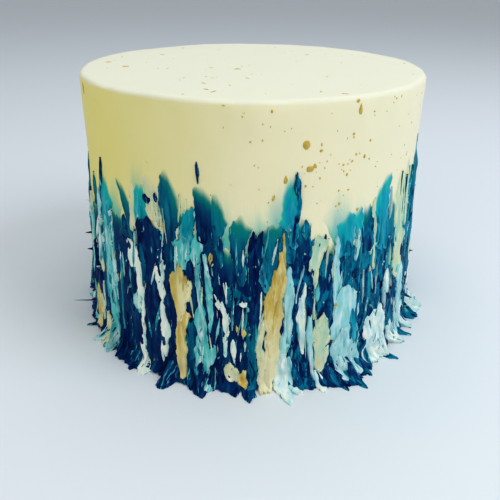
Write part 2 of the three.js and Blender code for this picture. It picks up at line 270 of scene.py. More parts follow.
CREAMS = [
    ("leaf", 38.9, 82, 39.5, 48, 4.4, 1.9),
    ("drip", 19.1, 72, 18, 47, 5.8, 2.0),
    ("strip", 53.4, 88, 54.4, 36, 9, 2.3),
    ("strip", 58, 92, 58, 60, 4, 1.9),
    ("leaf", 21, 36, 21, 3, 9, 2.4),
    ("strip", -36.8, 86, -36.4, 66, 4.2, 1.7),
    ("strip", -30.6, 92, -29.4, 74, 5, 1.5),
    ("leaf", -52.2, 17, -51.6, -5, 7, 2.7),
    ("leaf", 3.6, 36, 2.4, -1.6, 3.4, 2.7),
    ("leaf", -59, 24, -58, 2, 7, 2.6),
    ("strip", -26, 90, -25.8, 70, 1.6, 1.9),
    ("leaf", -57, 48, -55.6, 36, 7, 2.2),
    ("leaf", -28.3, 81, -27.2, 72, 3.6, 1.9),
    ("strip", 18.2, 50, 18.8, 33, 1.4, 2.6),
    ("daub", -5.2, 11.4, -4.9, 3.6, 5, 3.0),
    ("daub", -3.4, 9, -3.4, 3.4, 3.4, 3.2),
    ("leaf", -18, 87, -19, 71, 0.9, 2.0),
    ("leaf", -20.4, 87, -20.6, 71, 0.8, 2.0),
    ("leaf", -25.6, 79, -24, 62, 1.0, 2.5),
]
GOLD = [
    ("leaf", -20.2, 56.5, -20.4, 31, 10, 2.5),
    ("drip", -20.4, 37, -19.6, 0.8, 7.2, 3.0),
    ("leaf", 8.7, 68, 8, 44, 5, 2.6),
    ("wedge", 8.3, 66, 4.4, -3, 6.6, 2.8),
    ("leaf", 5.8, 54, 5.2, 14, 5, 2.6),
    ("daub", 24.8, 38.6, 24.8, 36.4, 2.2, 3.0),
    ("daub", -10.9, 60.6, -11.1, 58.4, 0.9, 2.7),
    ("daub", -61, 26, -60, 0, 9, 2.8),
    ("leaf", -17.8, 52, -18.2, 40, 3.6, 2.8),
    ("daub", -1.9, 9.4, -1.9, -0.4, 4.6, 3.4),
    ("leaf", 7.2, 44, 6.6, 27, 2.6, 3.0),
    ("daub", -10.7, 64.2, -10.9, 61, 1.6, 2.7),
    ("daub", -1.8, 29.6, -1.9, 26.6, 2.4, 3.0),
    ("daub", -3.2, 31.2, -3.2, 28.6, 1.4, 3.0),
    ("strip", 9.1, 74, 9.5, 58, 1.7, 2.9),
    ("leaf", 24.9, 19.5, 24.6, 13, 1.6, 3.0),
]

# Wisps of cream that stand out from the band: kind, angle and height of the root, reach, rise and width.
WISPS = [
    ("navy", -71.2, 6, 13, 2.2, 1.0),
    ("navy", -71.8, 45.5, 4.5, 0.6, 1.8),
    ("navy", -71.6, 36.5, 4.0, 0.5, 2.4),
    ("cream", -71.8, 62, 2.6, 2.4, 0.9),
    ("petrol", -70.5, 28, 2.6, -0.6, 2.0),
    ("petrol", 70.4, 12, 5.0, -1.6, 2.8),
    ("navy", 71.6, 37, 3.2, 0.8, 1.8),
    ("navy", 72, 73, 1.8, 0.4, 1.6),
    ("ivory", 70.6, 22, 2.6, 0.6, 1.6),
]

# Splashes of gold on the side: angle, height, width and length down the side.
SIDE_SPLASHES = [
    (14.3, 109.4, 3.0, 4.0),
    (15.6, 99.8, 3.2, 2.4),
    (17.0, 101.0, 1.4, 2.0),
    (9.1, 96.2, 1.6, 3.4),
    (28.6, 124.6, 1.6, 1.6),
    (29.6, 121.3, 1.7, 4.6),
    (32.7, 102.0, 1.2, 1.9),
    (25.2, 83.4, 1.2, 1.6),
    (31.8, 79.3, 1.3, 1.7),
    (18.5, 106.9, 1.3, 1.2),
    (27.0, 95.7, 1.0, 1.3),
    (28.2, 112.1, 1.1, 1.1),
    (25.6, 100.0, 1.0, 1.0),
    (27.9, 89.0, 1.2, 0.9),
    (29.6, 103.6, 1.0, 1.0),
    (5.8, 88.3, 1.2, 1.7),
    (34.8, 119.6, 1.0, 0.7),
    (34.2, 108.3, 0.8, 1.1),
    (-7.2, 124.6, 1.2, 0.6),
    (-63, 121.6, 1.6, 5.2),
]

# Splashes of gold on the top: place to the right, place to the back, length, width and turn in degrees.
TOP_SPLASHES = [
    (-14.8, -68.0, 3.6, 0.9, 60),
    (-17.9, -64.7, 2.4, 0.8, -30),
    (-19.9, -52.1, 3.2, 0.8, -50),
    (-7.0, -15.4, 3.0, 2.2, 5),
    (-60.5, -12.4, 3.6, 2.2, 0),
    (-71.7, 0.5, 3.2, 2.0, 10),
    (35.3, -69.8, 3.2, 0.8, -25),
    (-19.8, -12.2, 1.8, 0.8, 0),
    (29.9, 34.6, 2.4, 1.2, 20),
    (-49.5, 28.2, 2.8, 0.7, 0),
    (-17.3, -39.2, 2.0, 0.5, 15),
    (26.6, -65.6, 1.2, 0.8, 0),
    (-25.9, -73.2, 1.4, 0.8, 30),
    (-20.3, -35.8, 1.3, 0.9, 0),
]

# Numbers that the smooth noise runs through.
LATTICE = np.random.default_rng(11).random((256, 256))


def wander(x, y):
    """Smooth noise from -1 to 1, one cell of it about one unit wide."""
    x, y = np.broadcast_arrays(np.asarray(x, float), np.asarray(y, float))
    column, row = np.floor(x).astype(int), np.floor(y).astype(int)
    fx, fy = x - column, y - row
    fx, fy = fx * fx * (3 - 2 * fx), fy * fy * (3 - 2 * fy)
    c0, c1, r0, r1 = column % 256, (column + 1) % 256, row % 256, (row + 1) % 256
    low = LATTICE[r0, c0] * (1 - fx) + LATTICE[r0, c1] * fx
    high = LATTICE[r1, c0] * (1 - fx) + LATTICE[r1, c1] * fx
    return 2 * (low * (1 - fy) + high * fy) - 1


def band_radius(height):
    """Radius of the coat under the strokes, at a height."""
    return COAT_RADIUS + BAND_SWELL * np.clip(1 - height / BAND_HEIGHT, 0, 1)


def canvas(angle, height):
    """Where the knife works: up the side, round the bend at its base and out over what is below."""
    turn = np.radians(angle)
    arc = np.clip((FOOT_BEND - height) / FOOT_BEND, 0, math.pi / 2)
    run = np.maximum(0, FOOT_BEND * (1 - math.pi / 2) - height)
    radius = band_radius(np.maximum(height, 0)) + FOOT_BEND * (1 - np.cos(arc)) + run
    z = np.where(height >= FOOT_BEND, height, FOOT_BEND * (1 - np.sin(arc)))
    point = np.stack([radius * np.sin(turn), -radius * np.cos(turn), z], axis=1)
    out = np.stack([np.cos(arc) * np.sin(turn), -np.cos(arc) * np.cos(turn), np.sin(arc)], axis=1)
    return point, out


def deselect():
    """Leaves nothing selected, so that the next operator acts on its own piece alone."""
    bpy.ops.object.select_all(action="DESELECT")


def get_points(mesh):
    """Where the points of a mesh are, a row for each."""
    flat = np.empty(len(mesh.vertices) * 3)
    mesh.vertices.foreach_get("co", flat)
    return flat.reshape(-1, 3)


def set_points(mesh, points):
    """Moves the points of a mesh to these places."""
    mesh.vertices.foreach_set("co", np.ascontiguousarray(points, float).ravel())
    mesh.update()


def keep(mesh, name, kind, values):
    """Stores one value for each point of a mesh, for the materials and the later steps to read."""
    layer = mesh.attributes.new(name, kind, "POINT")
    field = "vector" if kind == "FLOAT_VECTOR" else "value"
    layer.data.foreach_set(field, np.ascontiguousarray(values, float).ravel())


def stroke(layout, seed, fade=0.0, lumps=0.1, cell=0.55):
    """One pull of the knife, as a sheet with torn edges that lies on the cake.

    Where it ends on the bare coat it thins to a film of that colour, and the film is kept for the materials.
    Across the sheet u runs from -1 to 1, and down it v runs from 0 to 1. Lengths are in millimetres. What one
    is divided by in wander is the size of that noise's patches, and what is added keeps the noises apart.
    """
    form, top_angle, top, foot_angle, foot, width, lift = layout
    if fade:
        top += ABOVE
    length = top - foot
    deselect()
    bpy.ops.mesh.primitive_grid_add(
        x_subdivisions=max(4, round((width + (SPREAD if fade else 0)) / cell)),
        y_subdivisions=max(6, round(length / cell / 1.2)),
        size=2, calc_uvs=False)
    piece = bpy.context.object
    grid = get_points(piece.data)
    u, v = grid[:, 0], (1 - grid[:, 1]) / 2
    opening, tip_share, closing, foot_share = FORMS[form]
    if fade:
        tip_share = 0.5 + 0.5 * tip_share
    along = v * length

    # Its outline, which opens from the tip and closes to the foot, with each side torn in its own way.
    side = np.where(u < 0, 3.7, 9.1) + seed * 3.3
    open_share = np.minimum(1, tip_share + (1 - tip_share) * np.sqrt(v / opening))
    close_share = np.minimum(1, foot_share + (1 - foot_share) * np.sqrt((1 - v) / closing))
    half = 0.5 * width * open_share * close_share * (1 + 0.2 * wander(along / 9 + side, seed))
    torn = 0.9 * wander(along / 5 + side, seed) + 0.4 * wander(along / 2 + side, 7)
    torn += 0.15 * wander(along / 0.8 + side, 19)
    half = np.maximum(0.25, half + torn * u * u * np.minimum(1, width / 5))
    nearer_front = u if top_angle < FRONT_ANGLE else -u
    soft_edge = np.maximum(0, nearer_front)
    bare = np.clip((top - along - COVERED) / 8, 0, 1)
    if fade:
        half = half + SPREAD * bare * soft_edge
    across = u * half + 1.1 * wander(along / 14, seed * 5.3)
    inset = (1 - np.abs(u)) * half
    tear = 2.0 * wander(across / 2.2 + seed, 40) + 1.1 * wander(across / 0.9 + seed, 60)
    dome = (0.35 if fade else 0.25) * width * u * u * (1 - v) ** 8
    height = top - along - dome - tear * (1 - v) ** 4 * (0.6 if fade else 1) + 0.8 * tear * v ** 6
    angle = top_angle + (foot_angle - top_angle) * v + np.degrees(across / COAT_RADIUS)
    point, out = canvas(angle, height)

    # How far its face stands out: the squeezed-up edge, the knife's drag marks, ripples and lumps.
    raised = 0.45 + 0.55 * (lift - 1.2)
    ridge = np.clip(wander(along / 7 + side, seed + 5) + 0.3, 0, 1)
    squeeze = 0.4 * np.exp(-((inset - 0.9) / 0.5) ** 2) * ridge
    drag = 0.12 * wander(across / 2.4, along / 18 + seed) + 0.05 * wander(across / 0.9, along / 14 + seed)
    ripple = 0.06 * wander(across / 4, along / 2.2 + seed)
    rough = lumps * wander(across / 2 + seed, along / 2.5) + 0.3 * lumps * wander(across / 0.8, along / 0.9)
    thick = raised * (0.95 + 0.35 * wander(across / 4 + seed, along / 9)) + squeeze + drag + ripple + rough
    thick = np.maximum(0.12, thick * (0.45 + 0.55 * np.clip(inset / 0.6, 0, 1)))

    # Its film, from 0 where the coat is bare to 1 where the cream covers it.
    film = np.ones(len(u))
    if fade:
        drawn = along * (1 + 0.5 * np.maximum(0, -nearer_front)) - LEAN * soft_edge
        feather = 0.08 * wander(across / 3 + seed, along / 20)
        feather += 0.05 * wander(across / 1.2, along / 14 + seed)
        down = np.clip(drawn / fade + feather, 0, 1)
        beside = np.clip(inset / np.minimum(SOFT_SIDE, 0.8 * half), 0, 1)
        if form != "wash":
            beside = np.where(nearer_front > 0, beside, 1)
        film = 1 - np.minimum(1, np.hypot(1 - down, bare * (1 - beside)))
        film *= np.clip(along / 2.5, 0, 1)
        if form == "wash":
            film *= WASH_FILM
        body = np.clip((film - 0.25) / 0.5, 0, 1)
        thick = thick * body + (1 - body) * (0.02 + 0.2 * film)

    set_points(piece.data, (point + out * thick[:, None]) * MM)
    root = point - out * ROOT_DEPTH
    root[:, 2] = np.where(height <= FOOT_BEND, 0, np.maximum(root[:, 2], 0))
    keep(piece.data, "root", "FLOAT_VECTOR", root * MM)
    pull = np.stack([across, along, np.full(len(u), seed * 13.7)], axis=1)
    keep(piece.data, "drag", "FLOAT_VECTOR", pull)
    keep(piece.data, "film", "FLOAT", film)
    keep(piece.data, "rim", "FLOAT", np.exp(-inset / 0.8))
    return piece


def wisp(layout, seed):
    """A thin tapered point that the knife pulled out of the band as it left it."""
    angle, height, reach, rise, width = layout[1:]
    deselect()
    bpy.ops.mesh.primitive_uv_sphere_add(segments=8, ring_count=10, radius=1, calc_uvs=False)
    piece = bpy.context.object
    ball = get_points(piece.data)
    run = (ball[:, 2] + 1) / 2
    girth = np.hypot(ball[:, 0], ball[:, 1])
    round_x = ball[:, 0] / np.maximum(girth, 0.01)
    round_y = ball[:, 1] / np.maximum(girth, 0.01)
    taper = 0.5 * width * np.minimum(1, girth * 2) * (1 - run) ** 0.7
    turn = math.radians(angle)
    out = np.array([math.sin(turn), -math.cos(turn), 0])
    beside = np.array([math.cos(turn), math.sin(turn), 0])
    up = np.array([0, 0, 1])
    root = out * (band_radius(height) - 1) + up * height
    bend = 0.15 * reach * wander(run * 3 + seed, seed)
    raised = rise * run ** 2 + bend + taper * round_y
    points = (root + np.outer(run * (reach + 1), out) + np.outer(raised, up)
              + np.outer(0.5 * taper * round_x + bend, beside))
    set_points(piece.data, points * MM)
    keep(piece.data, "root", "FLOAT_VECTOR", np.zeros((len(run), 3)))
    drag = np.stack([taper * round_x, run * reach, np.full(len(run), seed)], axis=1)
    keep(piece.data, "drag", "FLOAT_VECTOR", drag)
    keep(piece.data, "film", "FLOAT", np.ones(len(run)))
    keep(piece.data, "rim", "FLOAT", np.zeros(len(run)))
    return piece


def join_strokes(sheets, name):
    """Joins sheets of one kind and closes each down to its root, so that every stroke is a solid."""
    deselect()
    for sheet in sheets:
        sheet.select_set(True)
    bpy.context.view_layer.objects.active = sheets[0]
    bpy.ops.object.join()
    piece = bpy.context.object
    piece.name = piece.data.name = name

    # A wall goes down from the edge of every sheet.
    bpy.ops.object.mode_set(mode="EDIT")
    bpy.ops.mesh.select_mode(type="EDGE")
    bpy.ops.mesh.select_all(action="DESELECT")
    bpy.ops.mesh.select_non_manifold(
        extend=False, use_wire=False, use_boundary=True, use_multi_face=False, use_non_contiguous=False,
        use_verts=False)
    bpy.ops.mesh.extrude_edges_move()
    bpy.ops.object.mode_set(mode="OBJECT")
    mesh = piece.data
    points = get_points(mesh)
    chosen = np.empty(len(mesh.vertices), bool)
    mesh.vertices.foreach_get("select", chosen)
    roots = np.empty(len(mesh.vertices) * 3)
    mesh.attributes["root"].data.foreach_get("vector", roots)
    points[chosen] = roots.reshape(-1, 3)[chosen]
    set_points(mesh, points)

    # The bottoms are closed.
    bpy.ops.object.mode_set(mode="EDIT")
    bpy.ops.mesh.fill_holes(sides=0)
    bpy.ops.mesh.select_all(action="SELECT")
    bpy.ops.mesh.normals_make_consistent(inside=False)
    bpy.ops.object.mode_set(mode="OBJECT")
    mesh.attributes.remove(mesh.attributes["root"])
    bpy.ops.object.shade_smooth_by_angle(angle=math.radians(50))
    return piece


def finish_piece(piece, material):
    """Gives a piece its material and makes it part of the cake."""
    piece.data.materials.clear()
    piece.data.materials.append(material)
    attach(piece, "root")
    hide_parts("lemon_cake")


# Materials

def linear(hex_colour):
    """An sRGB hex colour as the linear red, green, blue and alpha that the shader takes."""
    channels = [int(hex_colour[i:i + 2], 16) / 255 for i in (1, 3, 5)]
    return [c / 12.92 if c <= 0.04045 else ((c + 0.055) / 1.055) ** 2.4 for c in channels] + [1.0]


def add(tree, kind, settings=(), links=()):
    """Adds one node: its own settings first, then values for its inputs, then links into its inputs."""
    node = tree.nodes.new("ShaderNode" + kind)
    for name, value in dict(settings).items():
        if name in node.inputs.keys() or isinstance(name, int):
            node.inputs[name].default_value = value
        else:
            setattr(node, name, value)
    for name, source in dict(links).items():
        tree.links.new(source, node.inputs[name])
    return node


def new_material(name):
    """An empty material, and the tree that its nodes go in."""
    material = bpy.data.materials.new(name)
    material.use_nodes = True
    material.node_tree.nodes.clear()
    return material, material.node_tree


def colour_ramp(tree, stops, source):
    """A ramp through these stops, each a position and a hex colour."""
    ramp = add(tree, "ValToRGB", {}, {"Fac": source})
    elements = ramp.color_ramp.elements
    while len(elements) < len(stops):
        elements.new(0.5)
    for element, (position, hex_colour) in zip(elements, stops):
        element.position = position
        element.color = linear(hex_colour)
    return ramp.outputs["Color"]


# CREAM and STAIN are what the thinnest pale and dark films look like, FOOT what a long pull of gold runs
# out to. FULL_COLOUR is the place in a ramp that most of a stroke takes its colour from.
CREAM = "#E9DEAE"
STAIN = "#35A08E"
FOOT = "#E8E4C4"
FULL_COLOUR = 0.8
# The coat's tints: a yellower painted shade on the left, its own pale lemon in the middle, and a paler
# painted light on the right.
COAT_SHADE_AND_LIGHT_TINTS = [(0.0, "#E6DB82"), (0.5, "#F0E8C4"), (1.0, "#EAE5CC")]

# The tint is painted shade to the left and painted light to the right, over the whole width of the coat.
# Towards the back it evens out between these two depths.
TINT_REACH = 85.0
EVEN_FROM = -10.0
EVEN_TO = 60.0

# The top is painted paler than the side, as painted light and sheen from above: the change comes over the rim
# between these two depths below the top.
PALE_TOP_LIGHT_FROM = 2.4
PALE_TOP_LIGHT_TO = 0.6

# The painted light and shade that is mixed in to the right of the cake comes in between the first two places,
# and the foot of a long pull pales between the other two, measured along it.
RIGHT_LIGHT_FROM = 4.0
RIGHT_LIGHT_TO = 12.0
PALE_FROM = 15.0
PALE_TO = 60.0


def coat_colour_shaded_and_lit(tree):
    """The colour of the bare coat, with painted shade making it yellower to the left and painted light making
    it paler to the right, and even at the back.
    """
    place = add(tree, "TexCoord")
    axes = add(tree, "SeparateXYZ", {}, {"Vector": place.outputs["Object"]})
    broad = add(tree, "TexNoise", {"Scale": 1 / (50 * MM), "Detail": 2.0},
                {"Vector": place.outputs["Object"]})
    across = add(tree, "MapRange", {"From Min": -TINT_REACH * MM, "From Max": TINT_REACH * MM},
                 {"Value": axes.outputs["X"]})
    uneven = add(tree, "Math", {"operation": "MULTIPLY_ADD", 1: 0.25, 2: -0.125}, {0: broad.outputs["Fac"]})
    tint = add(tree, "Math", {"operation": "ADD", "use_clamp": True},
               {0: across.outputs["Result"], 1: uneven.outputs["Value"]})
    behind = add(tree, "MapRange", {"From Min": EVEN_FROM * MM, "From Max": EVEN_TO * MM},
                 {"Value": axes.outputs["Y"]})
    evened = add(tree, "Mix", {"data_type": "FLOAT", 3: 0.5},
                 {0: behind.outputs["Result"], 2: tint.outputs["Value"]})
    return colour_ramp(tree, COAT_SHADE_AND_LIGHT_TINTS, evened.outputs[0])


def stroke_cream(name, stops, streak, second, sliver, right, mottle=0.5, second_long=11, foot_share=0.0,
                 clouds_from=0.41, clouds_to=0.59):
    """Coloured buttercream dragged by a knife: colour drawn out in streaks, thinning to the coat at its tip.

    The stops run from a thin film to a thick one, and mottle is how unevenly it was spread. The next four are
    each a colour and its share: streak and second came along on the knife, sliver came off its edge, and
    right is painted light and shade mixed in to the right of the cake, in clouds: it lifts the dark creams as
    if lit from the right, and dims and cools the pale ones. The clouds are fewer the higher the noise has to
    be for them and crisper the closer its two levels are. The foot of a long pull can be paler than the rest.
    """
    material, tree = new_material(name)
    drag = add(tree, "Attribute", {"attribute_name": "drag"})
    film = add(tree, "Attribute", {"attribute_name": "film"})
    rim = add(tree, "Attribute", {"attribute_name": "rim"})

    def pattern(across_mm, along_mm, detail, shift=0.0):
        """Noise drawn out along the pull, with patches of this size."""
        place = add(tree, "Mapping",
                    {"Scale": (1 / across_mm, 1 / along_mm, 1.0), "Location": (shift, 0, 0)},
                    {"Vector": drag.outputs["Vector"]})
        noise = add(tree, "TexNoise", {"Scale": 1.0, "Detail": detail, "Roughness": 0.6},
                    {"Vector": place.outputs["Vector"]})
        return noise.outputs["Fac"]

    def streaks_over(under, colour_and_share, wide, long, shift, rim_share, blend):
        """A second colour that came along on the knife, in streaks that blend in or have torn edges.

        Wide and long are their size in millimetres, rim_share is how much more of them lies along the rim of
        the stroke, and a small blend gives them hard edges.
        """
        hex_colour, amount = colour_and_share
        low = 0.72 - 0.36 * amount - 0.5 * blend
        edge = add(tree, "Math", {"operation": "MULTIPLY_ADD", 1: rim_share},
                   {0: rim.outputs["Fac"], 2: pattern(wide, long, 5.0 - 15 * blend, shift)})
        reach = add(tree, "MapRange", {"From Min": low, "From Max": low + blend},
                    {"Value": edge.outputs["Value"]})
        share_here = add(tree, "Math", {"operation": "MULTIPLY"},
                         {0: reach.outputs["Result"], 1: film.outputs["Fac"]})
        return add(tree, "Mix", {"data_type": "RGBA", 7: linear(hex_colour)},
                   {0: share_here.outputs["Value"], 6: under}).outputs[2]

    depth = add(tree, "Math", {"operation": "MULTIPLY_ADD", 1: 2 * mottle, 2: FULL_COLOUR - mottle},
                {0: pattern(4, 14, 3.0)})
    shifted = add(tree, "Math", {"operation": "MULTIPLY"},
                  {0: depth.outputs["Value"], 1: film.outputs["Fac"]})
    colour = colour_ramp(tree, stops, shifted.outputs["Value"])
    colour = streaks_over(colour, streak, wide=3.4, long=20, shift=0.0, rim_share=0.1, blend=0.22)
    colour = streaks_over(colour, second, wide=2.4, long=second_long, shift=31.0, rim_share=0.05, blend=0.2)
    colour = streaks_over(colour, sliver, wide=0.8, long=6, shift=57.0, rim_share=0.15, blend=0.03)
    # Painted light and shade to the right of the cake: there the dark creams are lifted and the pale ones
    # dimmed and cooled, in clouds.
    right_light_hex, right_light_share = right
    place = add(tree, "TexCoord")
    axes = add(tree, "SeparateXYZ", {}, {"Vector": place.outputs["Object"]})
    rightwards = add(tree, "MapRange", {"From Min": RIGHT_LIGHT_FROM * MM, "From Max": RIGHT_LIGHT_TO * MM},
                     {"Value": axes.outputs["X"]})
    clouds = add(tree, "MapRange",
                 {"From Min": clouds_from, "From Max": clouds_to, "To Max": 2 * right_light_share},
                 {"Value": pattern(2.6, 8, 5.0, 83.0)})
    right_light_amount = add(tree, "Math", {"operation": "MULTIPLY"},
                   {0: rightwards.outputs["Result"], 1: clouds.outputs["Result"]})
    colour = add(tree, "Mix", {"data_type": "RGBA", 7: linear(right_light_hex)},
                 {0: right_light_amount.outputs["Value"], 6: colour}).outputs[2]
    pull = add(tree, "SeparateXYZ", {}, {"Vector": drag.outputs["Vector"]})
    run_out = add(tree, "MapRange", {"From Min": PALE_FROM, "From Max": PALE_TO, "To Max": foot_share},
                  {"Value": pull.outputs["Y"]})
    colour = add(tree, "Mix", {"data_type": "RGBA", 7: linear(FOOT)},
                 {0: run_out.outputs["Result"], 6: colour}).outputs[2]
    covering = add(tree, "MapRange", {"interpolation_type": "SMOOTHSTEP", "From Max": 0.3},
                   {"Value": film.outputs["Fac"]})
    colour = add(tree, "Mix", {"data_type": "RGBA"},
                 {0: covering.outputs["Result"], 6: coat_colour_shaded_and_lit(tree), 7: colour}).outputs[2]
    bump = add(tree, "Bump", {"Strength": 0.25, "Distance": 0.25 * MM},
               {"Height": pattern(0.8, 11, 2.0, 11.0)})
    shader = add(tree, "BsdfPrincipled", {"Roughness": 0.5, "Specular IOR Level": 0.1},
                 {"Base Color": colour, "Normal": bump.outputs["Normal"]})
    add(tree, "OutputMaterial", {}, {"Surface": shader.outputs["BSDF"]})
    return material


# Each cream's right colour is its painted light and shade to the right of the cake.
navy_cream = stroke_cream(
    "navy buttercream, knife-dragged",
    [(0.0, STAIN), (0.2, "#0A8A80"), (0.36, "#045C78"), (0.55, "#00446C"), (0.8, "#003164"),
     (1.0, "#001E4C")],
    streak=("#001850", 0.35), second=("#085A80", 0.3), sliver=("#4FA9B4", 0.03), right=("#0A88A2", 0.42),
    second_long=12, clouds_from=0.49, clouds_to=0.6)
petrol_cream = stroke_cream(
    "petrol buttercream, knife-dragged",
    [(0.0, STAIN), (0.22, "#0A8A80"), (0.45, "#057A8A"), (0.8, "#046080"), (1.0, "#023C66")],
    streak=("#002C60", 0.35), second=("#148A9C", 0.35), sliver=("#8FD0D0", 0.04), right=("#1496B0", 0.35),
    second_long=12, clouds_from=0.49, clouds_to=0.6)
sea_cream = stroke_cream(
    "bright teal buttercream, knife-dragged",
    [(0.0, "#58C2B2"), (0.24, "#26B4AC"), (0.5, "#14AAB0"), (0.8, "#1096A2"), (1.0, "#06708C")],
    streak=("#04547A", 0.3), second=("#5FC0C4", 0.3), sliver=("#D5EAE4", 0.04), right=("#1898BC", 0.25))
aqua_cream = stroke_cream(
    "aqua buttercream, knife-dragged",
    [(0.0, "#C5DDC8"), (0.35, "#A9D3CB"), (0.6, "#4CBAB6"), (0.8, "#6CC6C2"), (1.0, "#AEDEDA")],
    streak=("#1F8693", 0.25), second=("#CDE3E2", 0.3), sliver=("#0A4A6E", 0.03), right=("#6CBCCB", 0.3))
foam_cream = stroke_cream(
    "pale aqua buttercream, knife-dragged",
    [(0.0, "#C8E0CC"), (0.4, "#BFDDD2"), (0.62, "#8ECBC8"), (0.8, "#B2DAD6"), (1.0, "#CDE4DE")],
    streak=("#2F9AA8", 0.25), second=("#DCE9E6", 0.3), sliver=("#0A5C7A", 0.03), right=("#9CD0DA", 0.25))
cream_cream = stroke_cream(
    "lemon buttercream, knife-dragged",
    [(0.0, CREAM), (0.55, "#CBD3AE"), (0.8, "#DAD8B2"), (1.0, "#E6E2C4")],
    streak=("#A9C9AE", 0.3), second=("#E9E6CC", 0.3), sliver=("#2F8288", 0.08), right=("#A4D0BE", 0.3))
ivory_cream = stroke_cream(
    "ivory buttercream, knife-dragged",
    [(0.0, CREAM), (0.55, "#C9E0D6"), (0.8, "#E8EDDF"), (1.0, "#F3F4E6")],
    streak=("#B0DAD4", 0.25), second=("#F6F7EC", 0.3), sliver=("#2F8090", 0.03), right=("#A8CCD4", 0.35))
gold_cream = stroke_cream(
    "ochre buttercream, knife-dragged",
    [(0.0, CREAM), (0.55, "#C6AE60"), (0.8, "#D6C47A"), (1.0, "#E0D69E")],
    streak=("#E8E2B8", 0.25), second=("#C09A40", 0.15), sliver=("#5E7A64", 0.0), right=("#B89C48", 0.3),
    mottle=0.6, foot_share=0.85)


def gold_splash():
    """Gold lustre mixed with spirit and flicked on from a brush: a soft shine, browner in some patches."""
    material, tree = new_material("gold lustre, splashed")
    place = add(tree, "TexCoord")
    patches = add(tree, "TexNoise", {"Scale": 1 / (1.2 * MM), "Detail": 2.0},
                  {"Vector": place.outputs["Object"]})
    colour = add(tree, "Mix", {"data_type": "RGBA", 6: linear("#BC9834"), 7: linear("#D6C26C")},
                 {0: patches.outputs["Fac"]})
    shader = add(tree, "BsdfPrincipled", {"Metallic": 0.15, "Roughness": 0.35},
                 {"Base Color": colour.outputs[2]})
    add(tree, "OutputMaterial", {}, {"Surface": shader.outputs["BSDF"]})
    return material


def coat_cream():
    """Lemon buttercream smoothed with a metal scraper: satin, nearly flat, with its top painted paler as
    light and sheen from above.

    Its pores are drawn coarser than the real ones, so that they show.
    """
    material, tree = new_material("lemon buttercream, scraped smooth")
    place = add(tree, "TexCoord")
    axes = add(tree, "SeparateXYZ", {}, {"Vector": place.outputs["Object"]})
    # The top and rim are painted paler and whiter: painted light and sheen from above.
    up = add(tree, "MapRange", {"From Min": (HEIGHT - PALE_TOP_LIGHT_FROM) * MM, "From Max": (HEIGHT - PALE_TOP_LIGHT_TO) * MM},
             {"Value": axes.outputs["Z"]})
    colour = add(tree, "Mix", {"data_type": "RGBA", 7: linear("#E2E0CA")},
                 {0: up.outputs["Result"], 6: coat_colour_shaded_and_lit(tree)})
    pores = add(tree, "TexNoise", {"Scale": 1 / (1.5 * MM), "Detail": 3.0},
                {"Vector": place.outputs["Object"]})
    bump = add(tree, "Bump", {"Strength": 0.15, "Distance": 0.1 * MM}, {"Height": pores.outputs["Fac"]})
    shader = add(tree, "BsdfPrincipled", {"Roughness": 0.5, "Specular IOR Level": 0.1},
                 {"Base Color": colour.outputs[2], "Normal": bump.outputs["Normal"]})
    add(tree, "OutputMaterial", {}, {"Surface": shader.outputs["BSDF"]})
    return material


# The band
#
# The strokes of the tables lie on the front. Round the back they follow a rule, and the finest are spread
# right round. Angles are in degrees to the right of the middle of the front, so the back runs from BACK_FROM
# on the right round to BACK_TO on the left.

UNDER_STROKES = 56
BACK_FROM = 66
BACK_TO = 297
BACK_STROKES = 43
BACK_FORMS = ["blade", "strip", "blade", "leaf", "wedge", "blade", "drip"]
BACK_KINDS = ["petrol", "ivory", "navy", "sea", "petrol", "navy",
              "aqua", "navy", "gold", "navy", "navy", "aqua"]
FINE_BACK_STROKES = 130
FINE_KINDS = ["ivory", "aqua", "navy", "cream", "petrol", "gold", "navy", "ivory", "sea"]
BACK_WASHES = 18
BACK_WISPS = 24
LINES = 180
LINE_KINDS = ["aqua", "cream", "foam", "ivory", "sea"]
SLIVERS = 480
SLIVER_KINDS = ["ivory", "aqua", "navy", "ivory", "gold", "aqua", "ivory", "petrol"]

# A broad stroke that starts above BARE_FROM ends on the bare coat, and one up to NARROW is never broad.
BARE_FROM = 66.0
NARROW = 3.5

# The golden ratio's fraction, whose multiples spread evenly, and a second one that sets one use apart from
# another.
SPREAD_STEP = 0.61803398875
USE_STEP = 0.75487766625


def share(index, salt):
    """An even spread of numbers from 0 to 1: the same stroke always gets the same share."""
    return (index * SPREAD_STEP + salt * USE_STEP) % 1


def draw(index, salt):
    """A number from 0 to 1 at random: the same stroke always draws the same number."""
    return float(LATTICE[salt + index // 256, index % 256])


def under_layout(index):
    """The dark strokes laid first, side by side right round, that everything else lies on."""
    angle = 360 * index / UNDER_STROKES - 180
    uneven = 6 if abs(angle) < BACK_FROM else 11
    top = 67 + uneven * wander(index * 0.77, 3.3)
    foot = 0.4 + 1.6 * wander(index * 0.91, 8.3)
    return "strip", angle, float(top), angle, float(foot), 15.0, 1.3


def back_layout(index):
    """The main strokes round the back, as in the part's source."""
    angle = BACK_FROM + (BACK_TO - BACK_FROM) / BACK_STROKES * (index + 0.5)
    if index % 4 == 0:
        top, foot = 78 + 20 * share(index, 1), 28 + 22 * share(index, 4)
    elif index % 3 == 1:
        top, foot = 34 + 22 * share(index, 2), -10 + 8 * share(index, 5)
    else:
        top, foot = 60 + 16 * share(index, 3), -5 + 14 * share(index, 6)
    lean = 3 * (share(index, 8) - 0.5)
    form = BACK_FORMS[index % len(BACK_FORMS)]
    width, lift = 8 + 7 * share(index, 7), 1.4 + 1.4 * share(index, 9)
    return form, angle - lean, top, angle + lean, foot, width, lift


